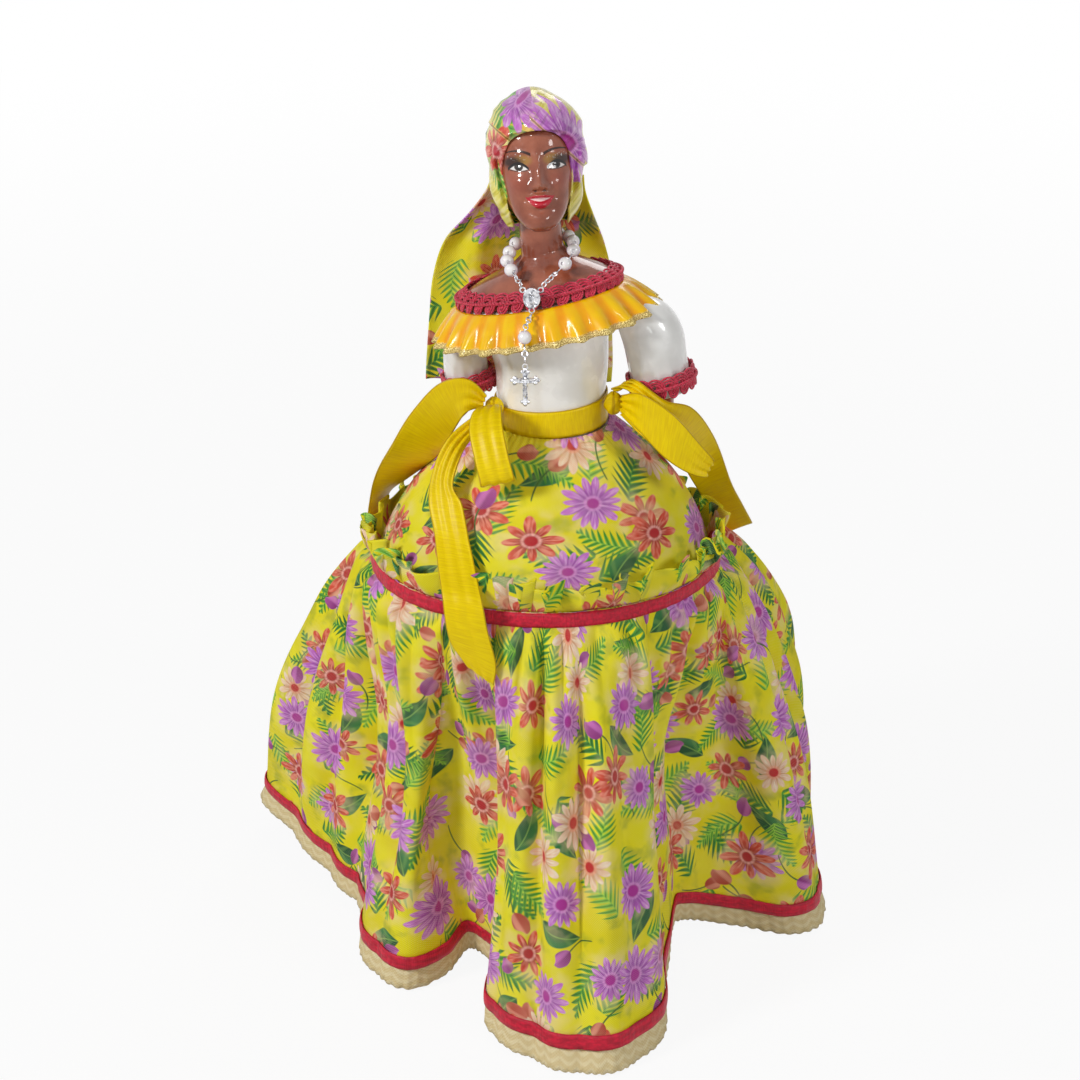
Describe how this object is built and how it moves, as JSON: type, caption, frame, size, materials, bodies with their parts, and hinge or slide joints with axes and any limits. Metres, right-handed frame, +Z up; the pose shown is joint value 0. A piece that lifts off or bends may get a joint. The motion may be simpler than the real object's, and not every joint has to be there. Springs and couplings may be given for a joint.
{
  "type": "costume doll",
  "caption": "Folk costume doll on a stand: varnished half figure in a head wrap with a gathered collar, ribbon sash, long bead necklace with a cross, and a two-tier full skirt.",
  "frame": {"origin": "centre of the stand base's underside, on the surface that the doll stands on", "axes": "+Z up, -Y towards the side that the doll faces, +X to the right of someone who looks at its face"},
  "size_m": [0.2814, 0.2832, 0.4106],
  "materials": {
    "skin": "painted cast resin under thick gloss varnish",
    "white_varnish": "white paint on cast resin, gloss varnish",
    "print_cotton": "plain-weave printed cotton",
    "print_varnished": "printed cotton stiffened with varnish",
    "satin": "satin ribbon",
    "gold_cloth": "satin stiffened with varnish, glitter edge",
    "red_ribbon": "narrow woven ribbon",
    "red_braid": "looped gimp braid",
    "lace": "cream cotton lace",
    "pearl": "pearlescent",
    "silver": "plated wire and castings",
    "foam": "plain foam",
    "wood": "plain turned wood"
  },
  "bodies": {
    "root": {"stand_base": "wood", "stand_post": "wood", "hip_form": "foam", "upper_skirt": "print_cotton", "header_frill": "print_cotton", "tier_ribbon": "red_ribbon", "lower_skirt": "print_cotton", "hem_ribbon": "red_ribbon", "hem_lace": "lace", "bodice": "white_varnish", "waistband": "satin", "neckline_braid": "red_braid", "collar_ruffle": "gold_cloth", "left_sleeve": "white_varnish", "left_cuff_braid": "red_braid", "left_arm": "skin", "right_sleeve": "white_varnish", "right_cuff_braid": "red_braid", "right_arm": "skin", "figure_bust": "skin", "head_wrap": "print_varnished", "scarf_tail": "print_cotton", "left_bow_knot": "satin", "right_bow_knot": "satin", "left_bow_side_tail": "satin", "left_bow_front_loop": "satin", "left_bow_long_tail": "satin", "right_bow_front_loop": "satin", "right_bow_back_tail": "satin", "rosary_bead_1": "pearl", "rosary_bead_2": "pearl", "rosary_bead_3": "pearl", "rosary_bead_4": "pearl", "rosary_bead_5": "pearl", "rosary_bead_6": "pearl", "rosary_bead_7": "pearl", "rosary_bead_8": "pearl", "rosary_bead_9": "pearl", "rosary_bead_10": "pearl", "rosary_bead_11": "pearl", "rosary_strand": "silver"},
    "medal": {"rosary_medal": "silver"},
    "drop": {"rosary_drop": "silver"},
    "drop_bead": {"rosary_drop_bead": "pearl"},
    "cross": {"rosary_cross": "silver"}
  },
  "joints": [
    {"name": "medal_lift", "type": "hinge", "parent": "root", "child": "medal", "pos_m": [-0.0036, -0.0288, 0.3334], "axis": [-1, 0, 0], "range_deg": [0, 50]},
    {"name": "drop_swing", "type": "hinge", "parent": "medal", "child": "drop", "pos_m": [-0.0036, -0.0288, 0.3229], "axis": [0.2419, 0.9703, 0], "range_deg": [-15, 18]},
    {"name": "drop_bead_spin", "type": "hinge", "parent": "drop", "child": "drop_bead", "pos_m": [-0.0066, -0.0384, 0.3141], "axis": [0, 0, 1], "continuous": true},
    {"name": "cross_swing", "type": "hinge", "parent": "drop", "child": "cross", "pos_m": [-0.0064, -0.0429, 0.3024], "axis": [0, 1, 0], "range_deg": [-30, 30]}
  ]
}
